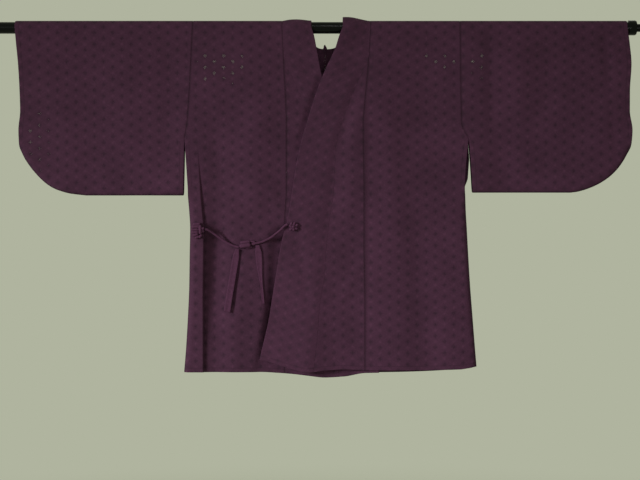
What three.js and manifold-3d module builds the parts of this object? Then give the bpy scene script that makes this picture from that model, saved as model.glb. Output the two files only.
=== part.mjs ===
// A dochugi coat hung flat on a rod, in millimetres.
// X runs to the wearer's left, the front faces -Y and Z is up.
// The origin is on the rod's axis, at the coat's centre back. A drop is a distance below that axis.
// Every cloth piece is a wall whose rows run from the front hem, over the rod, to the back hem.

import * as THREE from 'three';
import * as BufferGeometryUtils from 'three/addons/utils/BufferGeometryUtils.js';
import Module from 'manifold-3d';

const wasm = await Module();
wasm.setup();

// ---- Driving dimensions ----

const ROD = {
  radius: 12.5, sides: 24, leftEnd: -720, rightEnd: 720,
  coupler: { radius: 16, from: 650, to: 668, bevel: 4 },
  thinRadius: 8.5, bevel: 1.5,
};
const CLOTH_WALL = 1.6;
const BAND_WALL = 2.4; // the collar is folded double
const SEAM_GAP = 0.3;
const DRAPE_RADIUS = 13.3; // inner face of the cloth over the rod
const BODY_LENGTH = 738;
const BODY_HALF_DEPTH = 6; // of the hollow at the hem
const SLEEVE_LENGTH = { right: 358, left: 352 };
const SLEEVE_HALF_DEPTH = 3.8; // of the hollow at the sleeve's bottom
const SLEEVE_BLEND = 90; // from the body's depth to the sleeve's
const CUFF_LENGTH = 238; // open part of the sleeve's outer edge
const ARMHOLE_LENGTH = 238; // where the sleeve is sewn to the body
const SEAM_ROUND = 12; // how far a closed edge takes to round over
const NECK = { seamDrop: 93, freeDrop: 45, right: 91, left: 97, freeRight: 29, freeLeft: 38, lean: 5 };
const OVERLAP_LIFT = 4; // of the left front over the right front
const FOLD = { height: 7, foot: 2.5, trough: 5, shallow: 0.35, reach: 48 };
const VALLEY = { depth: 5, width: 24, shift: -14, top: 395, full: 455, fade: 520, end: 680 };

// Sleeve seams: straight from the rod to the bend, then out to the top of the slit.
const SLEEVE_SEAM = [
  { drop: 0, right: -282.5, left: 289 },
  { drop: 205, right: -294.5, left: 292.5 },
  { drop: 238, right: -300.5, left: 307.5 },
];

// Free edges of the sleeves beside the body, below the armhole.
const SLEEVE_INNER = [
  { drop: 238, right: -300.5, left: 307.5 },
  { drop: 285, right: -301.5, left: 311.5 },
  { drop: 358, right: -303, left: 316 },
];

// Outer edges of the sleeves: the cuff, then the large round corner.
const SLEEVE_OUTER = [
  { drop: 0, right: -663, left: 646 },
  { drop: 36, right: -660, left: 651 },
  { drop: 79, right: -656, left: 655 },
  { drop: 137, right: -653, left: 652 },
  { drop: 178, right: -652, left: 652 },
  { drop: 220, right: -656, left: 658 },
  { drop: 248, right: -655, left: 656 },
  { drop: 275, right: -645, left: 644 },
  { drop: 297, right: -631, left: 630 },
  { drop: 316, right: -615, left: 612 },
  { drop: 332, right: -598, left: 589 },
  { drop: 343, right: -581, left: 565 },
  { drop: 350, right: -562, left: 541 },
  { drop: 354, right: -546, left: 512 },
  { drop: 358, right: -512, left: 505 },
];

// Side seams of the body, and the soft fold beside the right one.
const BODY_SIDE = [
  { drop: 238, right: -300.5, left: 307.5, foldWidth: 26 },
  { drop: 290, right: -297, left: 302, foldWidth: 26 },
  { drop: 348, right: -293, left: 299, foldWidth: 26 },
  { drop: 395, right: -290, left: 301, foldWidth: 27 },
  { drop: 429, right: -288, left: 303, foldWidth: 28 },
  { drop: 485, right: -289, left: 306, foldWidth: 29 },
  { drop: 554, right: -290, left: 310, foldWidth: 29 },
  { drop: 622, right: -293, left: 315, foldWidth: 32 },
  { drop: 689, right: -297, left: 320, foldWidth: 36 },
  { drop: 738, right: -301, left: 324, foldWidth: 40 },
];

// How much wider the back is than the front beside the slits.
const SLIT_BACK = [
  { drop: 238, right: 0, left: 0 },
  { drop: 262, right: 1, left: 4.5 },
  { drop: 285, right: 0.5, left: 8 },
  { drop: 320, right: 0, left: 8 },
  { drop: 350, right: 0, left: 0 },
  { drop: 738, right: 0, left: 0 },
];

// Seams and free edges of the two fronts.
const FRONT_EDGES = [
  { drop: 0, bodyRight: -91, collarRight: -91, freeRight: -29, bodyLeft: 97, collarLeft: 97, freeLeft: 38 },
  { drop: 20, bodyRight: -90, collarRight: -90, freeRight: -23, bodyLeft: 96, collarLeft: 96, freeLeft: 30 },
  { drop: 45, bodyRight: -89, collarRight: -89, freeRight: -18, bodyLeft: 94.5, collarLeft: 94.5, freeLeft: 22 },
  { drop: 66, bodyRight: -88, collarRight: -88, freeRight: -14, bodyLeft: 93.5, collarLeft: 93.5, freeLeft: 13 },
  { drop: 93, bodyRight: -87, collarRight: -77, freeRight: -9, bodyLeft: 92, collarLeft: 81, freeLeft: 0 },
  { drop: 125, bodyRight: -85, collarRight: -62, freeRight: -1, bodyLeft: 89, collarLeft: 67, freeLeft: -13 },
  { drop: 165, bodyRight: -83, collarRight: -45, freeRight: 9, bodyLeft: 85, collarLeft: 51, freeLeft: -27 },
  { drop: 205, bodyRight: -82, collarRight: -30, freeRight: 20, bodyLeft: 82, collarLeft: 36, freeLeft: -39 },
  { drop: 238, bodyRight: -82, collarRight: -20, freeRight: 29, bodyLeft: 82, collarLeft: 26, freeLeft: -49 },
  { drop: 285, bodyRight: -82, collarRight: -15, freeRight: 41, bodyLeft: 83, collarLeft: 21.5, freeLeft: -60 },
  { drop: 348, bodyRight: -82, collarRight: -13, freeRight: 53, bodyLeft: 84, collarLeft: 19, freeLeft: -70 },
  { drop: 405, bodyRight: -85, collarRight: -4, freeRight: 64, bodyLeft: 84, collarLeft: 11, freeLeft: -79 },
  { drop: 457, bodyRight: -86, collarRight: 2, freeRight: 75, bodyLeft: 84, collarLeft: 4, freeLeft: -92 },
  { drop: 539, bodyRight: -86, collarRight: 8, freeRight: 90, bodyLeft: 85, collarLeft: -2, freeLeft: -105 },
  { drop: 594, bodyRight: -86, collarRight: 16, freeRight: 98, bodyLeft: 86, collarLeft: -11, freeLeft: -113 },
  { drop: 648, bodyRight: -86, collarRight: 21, freeRight: 104, bodyLeft: 86, collarLeft: -15, freeLeft: -121 },
  { drop: 738, bodyRight: -86, collarRight: 30, freeRight: 116, bodyLeft: 86, collarLeft: -24, freeLeft: -140 },
];

// Hems, as drops along X: the left front lies over the right one, whose corner hangs a little lower.
const HEMS = [
  { x: -301, right: 738, left: 712, back: 738 },
  { x: -140, right: 738, left: 712, back: 738 },
  { x: -101, right: 740, left: 721, back: 739 },
  { x: -73, right: 742, left: 730, back: 740 },
  { x: -36, right: 746, left: 738, back: 741 },
  { x: 0, right: 750, left: 734, back: 742 },
  { x: 40, right: 748, left: 732, back: 742 },
  { x: 88, right: 740, left: 734, back: 740 },
  { x: 193, right: 738, left: 734, back: 738 },
  { x: 292, right: 738, left: 732, back: 732 },
  { x: 324, right: 738, left: 726, back: 727 },
];

// Soft folds of the fronts and the back. Each grows from its top down to where it is full.
// The one with an end bulges over the ties, and dies away where they draw the cloth in.
const FOLDS = [
  { face: 'front', x: -150, lean: 0, top: 120, full: 330, end: 425, width: 40, height: 3 },
  { face: 'front', x: -215, lean: 0.05, top: 470, full: 640, width: 34, height: 3 },
  { face: 'front', x: -132, lean: 0.04, top: 420, full: 600, width: 30, height: -2.5 },
  { face: 'front', x: -25, lean: -0.02, top: 330, full: 640, width: 36, height: 5 },
  { face: 'front', x: 60, lean: 0.03, top: 300, full: 600, width: 30, height: -2 },
  { face: 'front', x: 150, lean: 0.05, top: 260, full: 560, width: 44, height: 3.5 },
  { face: 'front', x: 240, lean: 0.06, top: 330, full: 620, width: 36, height: 2.5 },
  { face: 'front', x: -560, lean: 0, top: 60, full: 230, width: 40, height: 2 },
  { face: 'front', x: 470, lean: 0.05, top: 70, full: 240, width: 46, height: 2 },
  { face: 'front', x: 590, lean: 0.12, top: 4, full: 26, width: 7, height: -1.2 },
  { face: 'back', x: -180, lean: -0.05, top: 240, full: 600, width: 42, height: 4 },
  { face: 'back', x: -62, lean: -0.02, top: 300, full: 640, width: 34, height: 3 },
  { face: 'back', x: 58, lean: 0.03, top: 220, full: 580, width: 38, height: 4.5 },
  { face: 'back', x: 190, lean: 0.04, top: 280, full: 620, width: 46, height: 3.5 },
  { face: 'back', x: -480, lean: 0, top: 60, full: 250, width: 44, height: 2.5 },
  { face: 'back', x: 520, lean: 0, top: 80, full: 240, width: 40, height: 2.5 },
];

const FOLD_FADE = 100; // over which a fold with an end dies away

const COLOURS = { coat: 0x3e2334, band: 0x40253a, tie: 0x45283c, rod: 0x0b0c0c };

// ---- Curves through the tables ----

const clamp = (value, low, high) => Math.min(Math.max(value, low), high);
const mix = (a, b, t) => a + (b - a) * t;

function smoothStep(from, to, value) {
  const t = clamp((value - from) / (to - from), 0, 1);
  return t * t * (3 - 2 * t);
}

// Straight lines between a table's rows.
function along(table, key, column, at) {
  const last = table.length - 1;
  let k = 0;
  while (k < last - 1 && table[k + 1][key] < at) k += 1;
  const t = clamp((at - table[k][key]) / (table[k + 1][key] - table[k][key]), 0, 1);
  return mix(table[k][column], table[k + 1][column], t);
}

const seamAt = (side, drop) => along(SLEEVE_SEAM, 'drop', side, drop);
const outward = (side) => (side === 'right' ? -1 : 1);

function sideAt(side, face, drop) {
  if (drop <= ARMHOLE_LENGTH) return seamAt(side, drop);
  const wider = face === 'back' ? along(SLIT_BACK, 'drop', side, drop) : 0;
  return along(BODY_SIDE, 'drop', side, drop) + outward(side) * wider;
}

function sleeveInnerAt(side, drop) {
  if (drop <= ARMHOLE_LENGTH) return seamAt(side, drop);
  return along(SLEEVE_INNER, 'drop', side, drop);
}

// ---- The hanging form that all the pieces share ----

// Half of the hollow's depth between front and back.
function halfDepth(x, drop) {
  const body = mix(DRAPE_RADIUS, BODY_HALF_DEPTH, clamp(drop / BODY_LENGTH, 0, 1));
  const sleeve = mix(DRAPE_RADIUS, SLEEVE_HALF_DEPTH, clamp(drop / SLEEVE_LENGTH.right, 0, 1));
  const seam = x < 0 ? -seamAt('right', drop) : seamAt('left', drop);
  return mix(body, sleeve, smoothStep(0, SLEEVE_BLEND, Math.abs(x) - seam));
}

function foldsAt(face, x, drop) {
  let height = 0;
  for (const fold of FOLDS) {
    if (fold.face !== face || drop <= fold.top) continue;
    const offset = (x - fold.x - fold.lean * (drop - fold.top)) / fold.width;
    const bell = Math.exp(-offset * offset);
    const left = fold.end ? 1 - smoothStep(fold.end - FOLD_FADE, fold.end, drop) : 1;
    height += fold.height * bell * smoothStep(fold.top, fold.full, drop) * left;
  }
  return height;
}

// The fold beside the right side seam: a flat band that stands over a trough, deepest below the ties.
function bandFold(x, drop) {
  const edge = sideAt('right', 'front', drop) + along(BODY_SIDE, 'drop', 'foldWidth', drop);
  const rise = smoothStep(ARMHOLE_LENGTH, 400, drop);
  const height = FOLD.height * rise;
  const trough = -FOLD.trough * rise * mix(FOLD.shallow, 1, smoothStep(400, 470, drop));
  const past = x - edge;
  if (past <= 0) return height;
  if (past < FOLD.foot) return mix(height, trough, past / FOLD.foot);
  return trough * (1 - smoothStep(FOLD.foot, FOLD.reach, past));
}

// The right front falls in beside the left front's free edge, below the ties.
function edgeValley(x, drop) {
  const offset = (x - along(FRONT_EDGES, 'drop', 'freeLeft', drop) - VALLEY.shift) / VALLEY.width;
  const grown = smoothStep(VALLEY.top, VALLEY.full, drop) * (1 - smoothStep(VALLEY.fade, VALLEY.end, drop));
  return -VALLEY.depth * Math.exp(-offset * offset) * grown;
}

// The left front lies over the right one, and comes back to the body's depth past it.
function overlapLift(x, drop) {
  return OVERLAP_LIFT * smoothStep(20, 95, drop) * (1 - smoothStep(130, 230, x));
}

// A point of the cloth's inner face. The hem's curve is taken up over the lower half.
function hang(face, x, drop, lift, hemDrop) {
  const pulled = drop + (hemDrop - BODY_LENGTH) * smoothStep(380, BODY_LENGTH, drop);
  const depth = halfDepth(x, drop) + foldsAt(face, x, drop) + lift;
  return new THREE.Vector3(x, face === 'front' ? -depth : depth, -pulled);
}

// A point over the rod, at an angle from the front.
function overRod(x, angle, lift) {
  const radius = DRAPE_RADIUS + lift;
  return new THREE.Vector3(x, -radius * Math.cos(angle), radius * Math.sin(angle));
}

// Draws a point in to the middle where two edges are sewn together.
function sewn(point, distance, strength) {
  const t = clamp(distance / SEAM_ROUND, 0, 1);
  const open = Math.sqrt(1 - (1 - t) * (1 - t));
  const kept = mix(1, open, strength);
  const side = Math.sign(point.y);
  point.y = side * mix(SEAM_GAP / 2, Math.abs(point.y), kept);
  return point;
}

// ---- Rows and columns ----

const DROPS = [22, 45, 66, 93, 145, 205, 238, 270, 310, 348, 400, 457, 525, 594, 665, 738];
const NECK_ANGLES = [13, 29, 45, 60, 75, 90].map(THREE.MathUtils.degToRad);
const ROD_ANGLES = [0, 30, 60, 90, 120, 150, 180].map(THREE.MathUtils.degToRad);
const SLEEVE_ROUNDING = [0, 2, 5, 10, 20, 38, 60, 82];
const EDGE_COLUMNS = [0, 2, 6, 13];

const rowsFor = (drops, face) => drops.map((drop) => ({ face, drop }));
const rodRows = ROD_ANGLES.map((angle) => ({ face: 'rod', drop: 0, angle }));
const bodyBackDrops = [
  ...NECK_ANGLES.map((angle) => (NECK.seamDrop + SEAM_GAP) * Math.sin(angle)),
  ...DROPS.filter((drop) => drop > NECK.seamDrop),
];
const bodyRows = [...rowsFor([...DROPS].reverse(), 'front'), ...rodRows, ...rowsFor(bodyBackDrops, 'back')];

// ---- Cloth walls ----

// A closed wall over a grid of rows and columns: place(row, column) gives the inner face.
function clothWall(rows, columns, place, thickness) {
  const inner = rows.map((row) => columns.map((column) => place(row, column)));
  const lastRow = rows.length - 1;
  const lastColumn = columns.length - 1;
  const normalAt = (i, j) => {
    const up = inner[Math.min(i + 1, lastRow)][j].clone().sub(inner[Math.max(i - 1, 0)][j]);
    const across = inner[i][Math.min(j + 1, lastColumn)].clone().sub(inner[i][Math.max(j - 1, 0)]);
    return across.cross(up).normalize();
  };
  const geometry = new THREE.BoxGeometry(1, 1, 1, lastColumn, lastRow, 1);
  const position = geometry.getAttribute('position');
  for (let k = 0; k < position.count; k += 1) {
    const j = Math.round((position.getX(k) + 0.5) * lastColumn);
    const i = Math.round((position.getY(k) + 0.5) * lastRow);
    const out = position.getZ(k) > 0 ? thickness : 0;
    const point = inner[i][j].clone().addScaledVector(normalAt(i, j), out);
    position.setXYZ(k, point.x, point.y, point.z);
  }
  return geometry;
}

function named(name, geometry, colour, roughness = 0.9, metalness = 0) {
  const material = new THREE.MeshStandardMaterial({ color: colour, roughness, metalness });
  const mesh = new THREE.Mesh(geometry, material);
  mesh.name = name;
  return mesh;
}

// ---- Body lengths ----

// Columns from the side seam: close together where the seam rounds and at the fold.
// The last ones spread to the other edge.
function bodyColumnOffsets(foldWidth) {
  return [...EDGE_COLUMNS, foldWidth - 6, foldWidth, foldWidth + FOLD.foot, foldWidth + 20, foldWidth + 45];
}
const BODY_SPREAD = [0.25, 0.5, 0.7, 0.86, 1];

function bodyX(side, face, drop, column, innerEdge) {
  const edge = sideAt(side, face, drop);
  const offsets = bodyColumnOffsets(along(BODY_SIDE, 'drop', 'foldWidth', drop));
  const sewnEdge = edge - outward(side) * SEAM_GAP / 2;
  if (column < offsets.length) return sewnEdge - outward(side) * offsets[column];
  const start = sewnEdge - outward(side) * offsets[offsets.length - 1];
  return mix(start, innerEdge, BODY_SPREAD[column - offsets.length]);
}

// The neck seam on the back, an ellipse from the shoulder to the centre seam.
function bodyBackEdge(side, drop) {
  const deep = NECK.seamDrop + SEAM_GAP;
  const reach = NECK[side] + SEAM_GAP;
  if (drop >= deep - 1e-6) return outward(side) * SEAM_GAP / 2;
  return outward(side) * Math.max(reach * Math.sqrt(1 - (drop / deep) ** 2), SEAM_GAP / 2);
}

function bodyInnerEdge(side, face, drop) {
  if (face === 'back') return bodyBackEdge(side, drop);
  const column = side === 'right' ? 'bodyRight' : 'bodyLeft';
  return along(FRONT_EDGES, 'drop', column, drop) + outward(side) * SEAM_GAP;
}

function bodyLift(side, face, x, drop) {
  if (face !== 'front') return 0;
  return side === 'right' ? bandFold(x, drop) + edgeValley(x, drop) : overlapLift(x, drop);
}

function bodyLength(side) {
  const count = bodyColumnOffsets(0).length + BODY_SPREAD.length;
  const columns = Array.from({ length: count }, (_, k) => (side === 'right' ? k : count - 1 - k));
  const place = (row, column) => {
    const x = bodyX(side, row.face, row.drop, column, bodyInnerEdge(side, row.face, row.drop));
    if (row.face === 'rod') return overRod(x, row.angle, 0);
    const hem = along(HEMS, 'x', row.face === 'back' ? 'back' : side, x);
    const point = hang(row.face, x, row.drop, bodyLift(side, row.face, x, row.drop), hem);
    const distance = Math.abs(x - sideAt(side, row.face, row.drop)) - SEAM_GAP / 2;
    return sewn(point, distance, smoothStep(346, 400, row.drop));
  };
  return named(`body_${side}`, clothWall(bodyRows, columns, place, CLOTH_WALL), COLOURS.coat);
}

// ---- Sleeves ----

// How nearly a sleeve's edge runs straight down, from 0 along its bottom to 1 at the cuff.
function outerSteepness(side, drop) {
  const run = along(SLEEVE_OUTER, 'drop', side, drop + 3) - along(SLEEVE_OUTER, 'drop', side, drop - 3);
  return 6 / Math.hypot(run, 6);
}

function sleeve(side) {
  const length = SLEEVE_LENGTH[side];
  const lower = SLEEVE_ROUNDING.map((up) => length - up).reverse();
  const upper = DROPS.filter((drop) => drop <= ARMHOLE_LENGTH);
  const drops = [...upper, 258, ...lower.filter((drop) => drop > 262)];
  const rows = [...rowsFor([...drops].reverse(), 'front'), ...rodRows, ...rowsFor(drops, 'back')];
  const spread = [0.12, 0.3, 0.5, 0.7, 0.88, 1];
  const count = EDGE_COLUMNS.length + spread.length;
  const columns = Array.from({ length: count }, (_, k) => (side === 'right' ? k : count - 1 - k));
  const place = (row, column) => {
    const outer = along(SLEEVE_OUTER, 'drop', side, row.drop);
    const inner = sleeveInnerAt(side, row.drop) + outward(side) * SEAM_GAP / 2;
    const last = EDGE_COLUMNS.length - 1;
    const offset = EDGE_COLUMNS[Math.min(column, last)];
    const start = outer - outward(side) * offset;
    const x = column <= last ? start : mix(start, inner, spread[column - last - 1]);
    if (row.face === 'rod') return overRod(x, row.angle, 0);
    const point = hang(row.face, x, row.drop, 0, BODY_LENGTH);
    const fromBottom = length - row.drop;
    const fromOuter = Math.abs(x - outer) * outerSteepness(side, row.drop);
    const outerClosed = smoothStep(CUFF_LENGTH - 2, CUFF_LENGTH + 24, row.drop);
    const distance = Math.min(fromBottom, mix(SEAM_ROUND, fromOuter, outerClosed));
    return sewn(point, distance, 1);
  };
  return named(`sleeve_${side}`, clothWall(rows, columns, place, CLOTH_WALL), COLOURS.coat);
}

// ---- Overlap panels and collar ----

const frontDrops = [...DROPS].reverse();

function frontLift(side, x, drop) {
  return side === 'right' ? edgeValley(x, drop) : overlapLift(x, drop);
}

// The overlap panel starts as a narrow point below the shoulder.
function okumi(side) {
  const sign = outward(side);
  const tip = 69;
  const rows = rowsFor([...frontDrops.filter((drop) => drop > tip), tip], 'front');
  const bodyKey = side === 'right' ? 'bodyRight' : 'bodyLeft';
  const collarKey = side === 'right' ? 'collarRight' : 'collarLeft';
  const columns = side === 'right' ? [0, 1, 2, 3, 4] : [4, 3, 2, 1, 0];
  const place = (row, column) => {
    const from = along(FRONT_EDGES, 'drop', bodyKey, row.drop);
    const to = along(FRONT_EDGES, 'drop', collarKey, row.drop) + sign * SEAM_GAP;
    const x = mix(from, to, column / 4);
    return hang('front', x, row.drop, frontLift(side, x, row.drop), along(HEMS, 'x', side, x));
  };
  return named(`okumi_${side}`, clothWall(rows, columns, place, CLOTH_WALL), COLOURS.coat);
}

// The collar's soft rise where it passes over the rod.
function collarBump(side, t) {
  if (side === 'right') return 2.5 * Math.sin(Math.PI * Math.min(t * 1.1, 1));
  return 7.5 * Math.sin(Math.PI / 2 * Math.min(t / 0.85, 1)) ** 2;
}

// Half of the collar: up the front edge, over the rod and round the back of the neck.
function collar(side) {
  const sign = outward(side);
  const collarKey = side === 'right' ? 'collarRight' : 'collarLeft';
  const freeKey = side === 'right' ? 'freeRight' : 'freeLeft';
  const neckFree = side === 'right' ? NECK.freeRight : NECK.freeLeft;
  const neckRows = NECK_ANGLES.map((angle) => ({ face: 'back', angle }));
  const rows = [...rowsFor(frontDrops, 'front'), ...rodRows, ...neckRows];
  const columns = side === 'right' ? [0, 1, 2, 3, 4, 5, 6] : [6, 5, 4, 3, 2, 1, 0];
  const place = (row, column) => {
    const t = column / 6;
    if (row.face === 'back') {
      const seamX = sign * Math.max(NECK[side] * Math.cos(row.angle), SEAM_GAP / 2);
      const freeX = sign * Math.max(neckFree * Math.cos(row.angle), SEAM_GAP / 2);
      const drop = mix(NECK.seamDrop, NECK.freeDrop, t) * Math.sin(row.angle);
      const rise = collarBump(side, t) * (1 - smoothStep(0, 60, drop));
      const lift = rise + NECK.lean * t * t * Math.sin(row.angle);
      return hang('back', mix(seamX, freeX, t), drop, lift, BODY_LENGTH);
    }
    const from = along(FRONT_EDGES, 'drop', collarKey, row.drop);
    const to = along(FRONT_EDGES, 'drop', freeKey, row.drop);
    const x = mix(from, to, t);
    if (row.face === 'rod') return overRod(x, row.angle, collarBump(side, t));
    const rise = collarBump(side, t) * (1 - smoothStep(0, 60, row.drop));
    return hang('front', x, row.drop, rise + frontLift(side, x, row.drop), along(HEMS, 'x', side, x));
  };
  return named(`collar_${side}`, clothWall(rows, columns, place, BAND_WALL), COLOURS.band);
}

// ---- Loop, ornaments and ties ----

const LOOP = { radius: 1.4, clear: 1.4, foot: 7.5, rise: 8, sides: 8, steps: 12 };

// An ornament's form from the middle of its bead, out over its lobes and in again along its flat back.
// Between two lobes a row draws in to its waist, and sinks with it.
const ORNAMENT = { lobes: 5, columns: 40 };
const ORNAMENT_ROWS = [
  { reach: 0, height: 7.4, waist: 1 },
  { reach: 2.2, height: 7.1, waist: 1 },
  { reach: 3.8, height: 5.6, waist: 1 },
  { reach: 4.8, height: 4.4, waist: 0.9 },
  { reach: 6.4, height: 6.2, waist: 0.75 },
  { reach: 8.6, height: 7.6, waist: 0.62 },
  { reach: 10.8, height: 7.2, waist: 0.55 },
  { reach: 12.2, height: 5.6, waist: 0.52 },
  { reach: 12.7, height: 3.6, waist: 0.52 },
  { reach: 11.8, height: 1.4, waist: 0.52 },
  { reach: 10, height: 0, waist: 0.55 },
  { reach: 0, height: 0, waist: 1 },
];

// Each ornament is turned so that a lobe meets its tie.
const ORNAMENTS = [
  { name: 'ornament_side', side: 'right', x: -270.5, z: -436, turn: 39, size: 1.22 },
  { name: 'ornament_front', side: 'left', x: -67.5, z: -426, turn: 37, size: 0.92 },
];

// The outer face of the front that shows at a point.
function frontFace(side, x, z) {
  const lift = side === 'right' ? bandFold(x, -z) + CLOTH_WALL : overlapLift(x, -z) + BAND_WALL;
  return -(halfDepth(x, -z) + foldsAt('front', x, -z) + lift);
}

function ring(radiusX, radiusY, sides) {
  const shape = new THREE.Shape();
  for (let k = 0; k < sides; k += 1) {
    const angle = (2 * Math.PI * k) / sides;
    const x = radiusX * Math.cos(angle);
    const y = radiusY * Math.sin(angle);
    if (k === 0) shape.moveTo(x, y);
    else shape.lineTo(x, y);
  }
  shape.closePath();
  return shape;
}

function tube(points, radiusX, radiusY, sides, steps) {
  const path = new THREE.CatmullRomCurve3(points, false, 'centripetal');
  const settings = { steps, extrudePath: path, curveSegments: 1 };
  return new THREE.ExtrudeGeometry(ring(radiusX, radiusY, sides), settings);
}

function solid(geometry) {
  const bare = geometry.clone();
  bare.deleteAttribute('normal');
  bare.deleteAttribute('uv');
  const merged = BufferGeometryUtils.mergeVertices(bare, 1e-3);
  return new wasm.Manifold(new wasm.Mesh({
    numProp: 3,
    vertProperties: new Float32Array(merged.getAttribute('position').array),
    triVerts: new Uint32Array(merged.index.array),
  }));
}

function geometryOf(manifold) {
  const mesh = manifold.getMesh();
  const geometry = new THREE.BufferGeometry();
  geometry.setAttribute('position', new THREE.BufferAttribute(mesh.vertProperties, 3));
  geometry.setIndex(new THREE.BufferAttribute(mesh.triVerts, 1));
  return geometry;
}

// A small loop of cord that stands up from the collar at the centre back.
function hangingLoop() {
  const y = halfDepth(0, NECK.freeDrop) + NECK.lean + BAND_WALL + LOOP.clear + LOOP.radius;
  const z = -NECK.freeDrop;
  const points = [
    new THREE.Vector3(-LOOP.foot, y, z - 12),
    new THREE.Vector3(-LOOP.foot * 0.75, y, z - 1),
    new THREE.Vector3(0, y, z + LOOP.rise),
    new THREE.Vector3(LOOP.foot * 0.75, y, z - 1),
    new THREE.Vector3(LOOP.foot, y, z - 12),
  ];
  return named('hanging_loop', tube(points, LOOP.radius, LOOP.radius, LOOP.sides, LOOP.steps), COLOURS.tie);
}

// A flower of rolled cloth: round lobes about a bead.
function ornament({ name, side, x, z, turn, size }) {
  const { lobes, columns } = ORNAMENT;
  const last = ORNAMENT_ROWS.length - 1;
  const geometry = new THREE.SphereGeometry(1, columns, last);
  const position = geometry.getAttribute('position');
  const uv = geometry.getAttribute('uv');
  for (let k = 0; k < position.count; k += 1) {
    const row = ORNAMENT_ROWS[Math.round((1 - uv.getY(k)) * last)];
    const angle = -Math.PI * (0.5 + 2 * uv.getX(k));
    const lobe = (1 - Math.cos(lobes * angle)) / 2;
    const reach = size * row.reach * mix(row.waist, 1, lobe);
    const height = row.height * mix(Math.sqrt(row.waist), 1, lobe);
    position.setXYZ(k, reach * Math.sin(angle), -height, reach * Math.cos(angle));
  }
  const mesh = named(name, geometry, COLOURS.tie);
  mesh.rotation.y = THREE.MathUtils.degToRad(turn);
  return seated(mesh, side, x, z);
}

// Lays a piece on the front that it is sewn to or rests on.
function seated(mesh, side, x, z) {
  mesh.geometry.computeBoundingBox();
  const back = mesh.geometry.boundingBox.max.y;
  mesh.position.set(x, frontFace(side, x, z) - SEAM_GAP - back, z);
  return mesh;
}

const TIE = { radius: 2.5, sides: 8, ribbonHalfWidth: 7, ribbonHalfThickness: 0.9, taper: 4.5 };

// The ties' routes, chosen by hand: each leaves its ornament, meets the knot, and hangs down from it.
const SIDE_STRAND = [
  [-254.9, -21.7, -431.9], [-250.6, -20.9, -432.8], [-244, -18.2, -436.6], [-236, -15.4, -442.2],
  [-222, -13.4, -452.4], [-207, -13.1, -461.8], [-193, -13.1, -467.8], [-183.6, -13.6, -470.4],
];
const FRONT_STRAND = [
  [-79.4, -20.8, -421.9], [-85.2, -19.8, -424.2], [-94.4, -17.4, -433.2], [-105, -14.9, -442],
  [-116, -13.4, -450],
  [-128, -13.1, -456.4], [-139, -13, -460.4], [-150.6, -13.6, -462.6],
];
const SIDE_TAIL = [
  [-187, -12.6, -474.2], [-190, -11.6, -490], [-195, -11.8, -520], [-200, -12.2, -550],
  [-205, -12.8, -580], [-209.5, -13.2, -609],
];
const FRONT_TAIL = [
  [-144, -12.2, -466], [-142, -11.1, -482], [-140, -10.3, -510], [-137, -9.5, -540],
  [-134, -8.9, -568], [-132, -8.6, -592],
];

const vectors = (list) => list.map((point) => new THREE.Vector3(...point));

function strand(name, route) {
  return named(name, tube(vectors(route), TIE.radius, TIE.radius, TIE.sides, 16), COLOURS.tie);
}

// A flat tail: sections along its route, as wide as the ribbon and facing the front.
function tail(name, route, endHalfWidth) {
  const path = new THREE.CatmullRomCurve3(vectors(route), false, 'centripetal');
  const steps = 14;
  const geometry = new THREE.BoxGeometry(2, 2, 1, 2, 1, steps);
  const position = geometry.getAttribute('position');
  for (let k = 0; k < position.count; k += 1) {
    const t = position.getZ(k) + 0.5;
    const centre = path.getPoint(t);
    const half = mix(TIE.ribbonHalfWidth, endHalfWidth, smoothStep(0.35, 1, t));
    const start = mix(TIE.taper, half, smoothStep(0, 0.14, t));
    const x = centre.x + position.getX(k) * start;
    const y = centre.y - position.getY(k) * TIE.ribbonHalfThickness;
    position.setXYZ(k, x, y, centre.z);
  }
  return named(name, geometry, COLOURS.tie);
}

const KNOT = { x: -167.4, z: -465.6 };

// The knot: a loop drawn flat, with one turn of the tie round its middle.
function tieKnot() {
  const loop = new THREE.TorusGeometry(10.5, 3.6, 8, 16);
  loop.rotateX(Math.PI / 2);
  loop.scale(1.15, 1, 0.32);
  const filling = new THREE.SphereGeometry(1, 12, 8);
  filling.scale(12.5, 3.4, 4.4);
  const wrap = new THREE.TorusGeometry(5, 2.2, 6, 14);
  wrap.rotateY(Math.PI / 2);
  wrap.scale(1.5, 0.75, 1.1);
  wrap.rotateY(0.25);
  const whole = solid(loop).add(solid(filling)).add(solid(wrap));
  const mesh = named('tie_knot', geometryOf(whole), COLOURS.tie);
  mesh.rotation.y = 0.2;
  return seated(mesh, 'right', KNOT.x, KNOT.z);
}

// ---- Rod ----

// A round piece of the rod between two places, with its own bevel at each end.
function rodPiece(name, radius, from, to, fromBevel, toBevel) {
  const profile = [
    [0, from], [radius - fromBevel, from], [radius, from + fromBevel],
    [radius, to - toBevel], [radius - toBevel, to], [0, to],
  ];
  const turned = new THREE.LatheGeometry(profile.map((point) => new THREE.Vector2(...point)), ROD.sides);
  turned.rotateZ(-Math.PI / 2);
  return named(name, turned, COLOURS.rod, 0.3, 0.4);
}

// The tube, a coupler past the left sleeve, and the thinner inner tube that comes out of it.
function hangingRod() {
  const { radius, leftEnd, rightEnd, coupler, thinRadius, bevel } = ROD;
  return [
    rodPiece('rod', radius, leftEnd, coupler.from - SEAM_GAP, bevel, bevel / 2),
    rodPiece('rod_coupler', coupler.radius, coupler.from, coupler.to, bevel / 2, coupler.bevel),
    rodPiece('rod_inner', thinRadius, coupler.to + SEAM_GAP, rightEnd, bevel / 2, bevel),
  ];
}

// ---- The whole coat ----

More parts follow.
